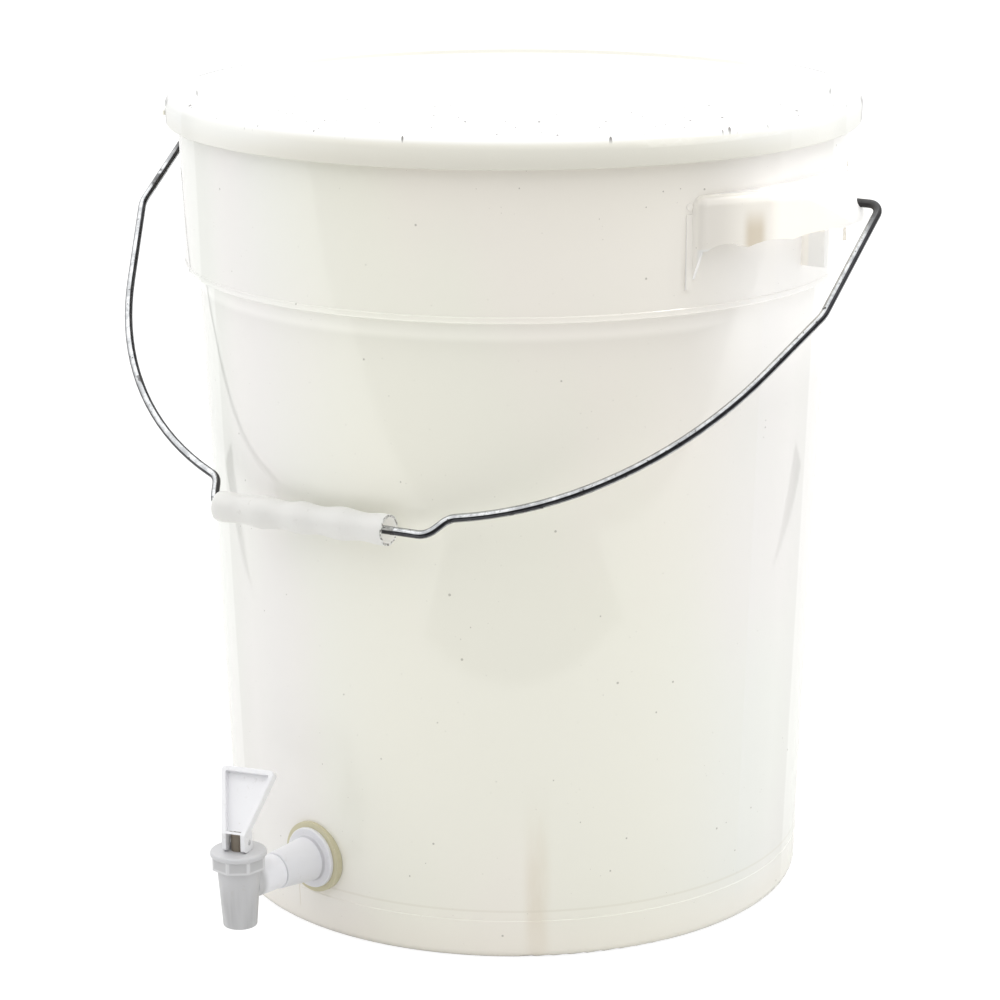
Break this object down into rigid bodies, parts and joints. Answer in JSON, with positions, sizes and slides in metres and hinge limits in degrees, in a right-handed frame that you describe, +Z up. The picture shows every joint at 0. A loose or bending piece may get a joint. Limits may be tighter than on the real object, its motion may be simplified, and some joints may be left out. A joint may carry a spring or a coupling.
{
  "type": "fermenting bucket",
  "caption": "Tapered round plastic pail with a press-on lid, moulded side ears, a swinging wire bail with a spinning grip, and a self-closing lever tap near the foot.",
  "frame": {"origin": "centre of the foot, on the ground plane", "axes": "+Z up along the pail's axis, the tap faces -Y, the bail's hinge line lies 8 degrees from X"},
  "size_m": [0.4169, 0.3814, 0.4],
  "materials": {
    "pail_plastic": "translucent natural polyethylene, satin",
    "lid_plastic": "white polyethylene, satin",
    "seal_rubber": "soft foam rubber",
    "plated_wire": "zinc-plated, spotted with age",
    "grip_plastic": "white moulded plastic",
    "tap_plastic": "white moulded plastic",
    "stem_plastic": "stained grey-brown plastic",
    "silicone": "yellowed translucent silicone",
    "spring_steel": "stainless steel"
  },
  "bodies": {
    "pail": {"bucket": "pail_plastic", "tap_shank": "tap_plastic", "outer_gasket": "silicone", "inner_gasket": "silicone", "lock_nut": "tap_plastic", "tap_body": "tap_plastic", "tap_oring": "silicone", "tap_bonnet": "tap_plastic"},
    "lid": {"lid": "lid_plastic", "lid_gasket": "seal_rubber"},
    "bail": {"bail_wire": "plated_wire"},
    "grip": {"bail_grip": "grip_plastic"},
    "plunger": {"tap_seat_cup": "silicone", "tap_spring": "spring_steel"},
    "stem": {"tap_stem": "stem_plastic", "tap_handle_pin": "spring_steel"},
    "lever": {"tap_handle": "tap_plastic"}
  },
  "joints": [
    {"name": "bail_swing", "type": "hinge", "parent": "pail", "child": "bail", "pos_m": [0, 0, 0.36], "axis": [-0.9903, -0.1392, 0], "range_deg": [0, 262]},
    {"name": "grip_spin", "type": "hinge", "parent": "bail", "child": "grip", "pos_m": [0.02165, -0.16127, 0.21605], "axis": [0.9858, 0.1664, 0.0244], "continuous": true},
    {"name": "lid_lift", "type": "slide", "parent": "pail", "child": "lid", "axis": [0, 0, 1], "range_m": [0, 0.15]},
    {"name": "plunger_lift", "type": "slide", "parent": "pail", "child": "plunger", "axis": [0, 0, 1], "range_m": [0, 0.0018], "deforming": ["tap_spring", "tap_seat_cup"]},
    {"name": "stem_swivel", "type": "hinge", "parent": "plunger", "child": "stem", "pos_m": [0, -0.197, 0.0612], "axis": [0, 0, 1], "continuous": true},
    {"name": "lever_tilt", "type": "hinge", "parent": "stem", "child": "lever", "pos_m": [0, -0.197, 0.0612], "axis": [0.9272, 0.3746, 0], "range_deg": [0, 45]}
  ],
  "couplings": [
    {"joint": "plunger_lift", "follows": "lever_tilt", "m_per_rad": 0.0022}
  ]
}
